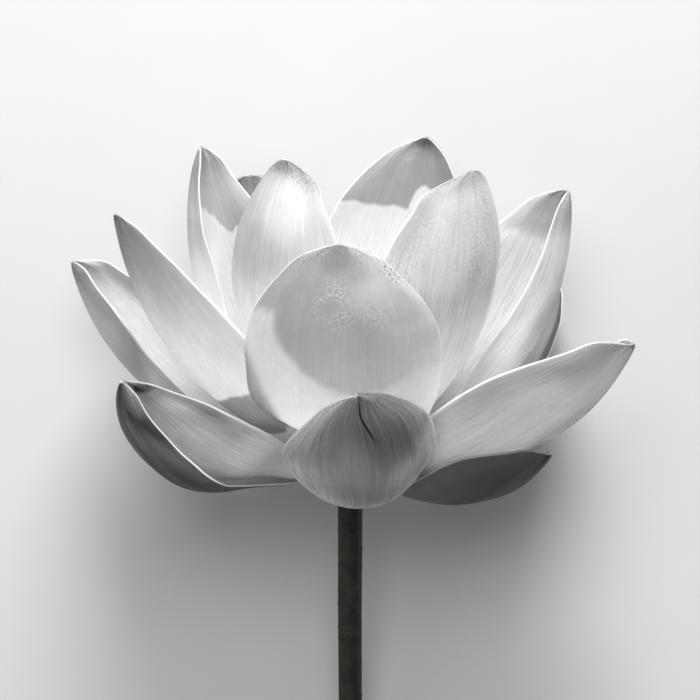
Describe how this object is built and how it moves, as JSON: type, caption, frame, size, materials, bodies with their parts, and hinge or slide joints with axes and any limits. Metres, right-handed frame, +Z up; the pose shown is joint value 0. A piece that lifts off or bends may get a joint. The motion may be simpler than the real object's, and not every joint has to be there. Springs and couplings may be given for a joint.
{
  "type": "lotus flower",
  "caption": "Open lotus flower lying on its side: cupped petals round a seed receptacle with a ring of stamens, on a short cut stem.",
  "frame": {"origin": "on the surface the flower lies on, under the middle of the whole flower", "axes": "+Z up from the surface, +Y from the cut end of the stem towards the open bloom, +X to the right seen from above with the stem at the bottom"},
  "size_m": [0.198, 0.2678, 0.1376],
  "materials": {
    "petal": "satin",
    "outer_petal": "satin",
    "receptacle": "satin",
    "stamen": "matte",
    "stem": "matte"
  },
  "bodies": {
    "root": {"petal_front_inner": "petal", "petal_front_left": "petal", "petal_front_right": "petal", "petal_left_back": "petal", "petal_back_sliver": "petal", "petal_back_inner": "petal", "petal_right_back": "petal", "petal_right_hidden": "petal", "petal_right_low": "petal", "petal_right_sepal": "outer_petal", "petal_left_low": "petal", "petal_left_sepal": "outer_petal", "petal_left_far": "petal", "petal_left_front": "petal", "petal_front_low": "outer_petal", "petal_back_left_low": "petal", "petal_back_right": "petal", "petal_back_rest": "petal", "receptacle": "receptacle", "stamens": "stamen", "stem": "stem"}
  },
  "joints": []
}
